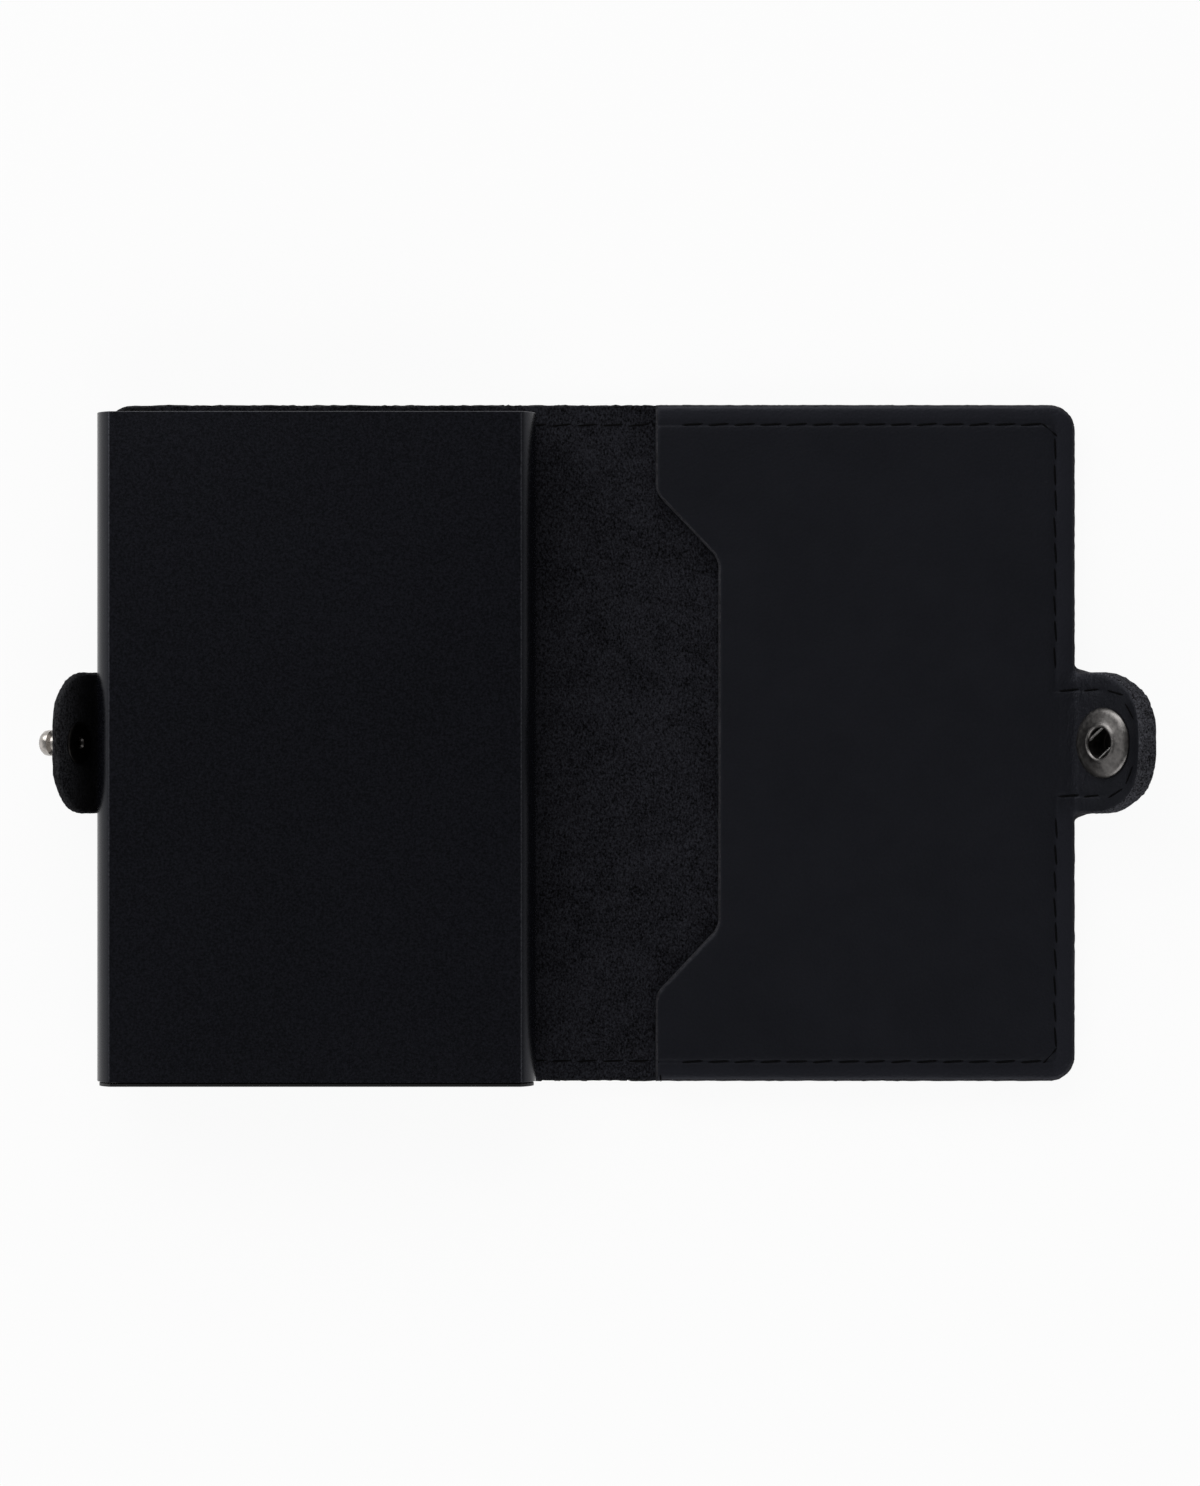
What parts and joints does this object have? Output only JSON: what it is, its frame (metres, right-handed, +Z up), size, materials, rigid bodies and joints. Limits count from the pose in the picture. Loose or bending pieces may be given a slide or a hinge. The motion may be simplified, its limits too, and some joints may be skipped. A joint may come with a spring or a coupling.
{
  "type": "minimalist wallet",
  "caption": "Slim folding leather wallet, lying open: a metal pop-up card case on one side, a stitched slip pocket on the other, and a press-stud tab that closes it.",
  "frame": {"origin": "on the face the open wallet lies on, under the middle of the card case's width and on the centre line of the two tabs", "axes": "+X from the card case to the flap, +Y to the case's open end, +Z up out of the open wallet"},
  "size_m": [0.1577, 0.0966, 0.0122],
  "materials": {
    "anodised": "black bead-blasted anodised",
    "plastic": "moulded black",
    "steel": "bright",
    "felt": "pressed felt",
    "tape": "adhesive sheet",
    "leather": "black, grain outside and suede inside",
    "lining": "black smooth grain",
    "thread": "black waxed thread",
    "nickel": "dark nickel plated"
  },
  "bodies": {
    "holder": {"card_case": "anodised", "bottom_cap": "plastic", "lever_pin": "steel", "front_felt": "felt", "rear_felt": "felt", "case_tape": "tape", "back_panel": "leather"},
    "ejector": {"ejector_lever": "plastic"},
    "near_spine": {"spine_near_strip": "leather"},
    "far_spine": {"spine_far_strip": "leather"},
    "flap": {"flap_panel": "leather", "pocket_panel": "lining", "upper_pocket_thread": "thread", "lower_pocket_thread": "thread"},
    "closer": {"closing_tab_outer": "leather", "closing_tab_lining": "lining", "closing_tab_thread": "thread", "snap_socket": "nickel", "socket_spring": "steel", "snap_cap": "nickel"},
    "stud_side": {"stud_tab": "leather", "snap_stud": "nickel", "stud_eyelet": "nickel"}
  },
  "joints": [
    {"name": "spine_fold", "type": "hinge", "parent": "holder", "child": "near_spine", "pos_m": [0.02946, 0, 0.0014], "axis": [0, -1, 0], "range_deg": [0, 60]},
    {"name": "spine_middle_fold", "type": "hinge", "parent": "near_spine", "child": "far_spine", "pos_m": [0.03587, 0, 0.0014], "axis": [0, -1, 0], "range_deg": [0, 60]},
    {"name": "flap_fold", "type": "hinge", "parent": "far_spine", "child": "flap", "pos_m": [0.04228, 0, 0.0014], "axis": [0, -1, 0], "range_deg": [0, 60]},
    {"name": "closing_tab_bend", "type": "hinge", "parent": "flap", "child": "closer", "pos_m": [0.1077, 0, 0.0029], "axis": [0, -1, 0], "range_deg": [-48, 42], "stiffness_Nm_per_rad": 0.02},
    {"name": "stud_tab_bend", "type": "hinge", "parent": "holder", "child": "stud_side", "pos_m": [-0.0318, 0, 0.0014], "axis": [0, 1, 0], "range_deg": [-63, 27], "stiffness_Nm_per_rad": 0.02},
    {"name": "ejector_swing", "type": "hinge", "parent": "holder", "child": "ejector", "pos_m": [-0.022, -0.04375, 0.0061], "axis": [0, 0, 1], "range_deg": [0, 20]}
  ],
  "couplings": [
    {"joint": "spine_middle_fold", "follows": "spine_fold", "ratio": 1}
  ]
}
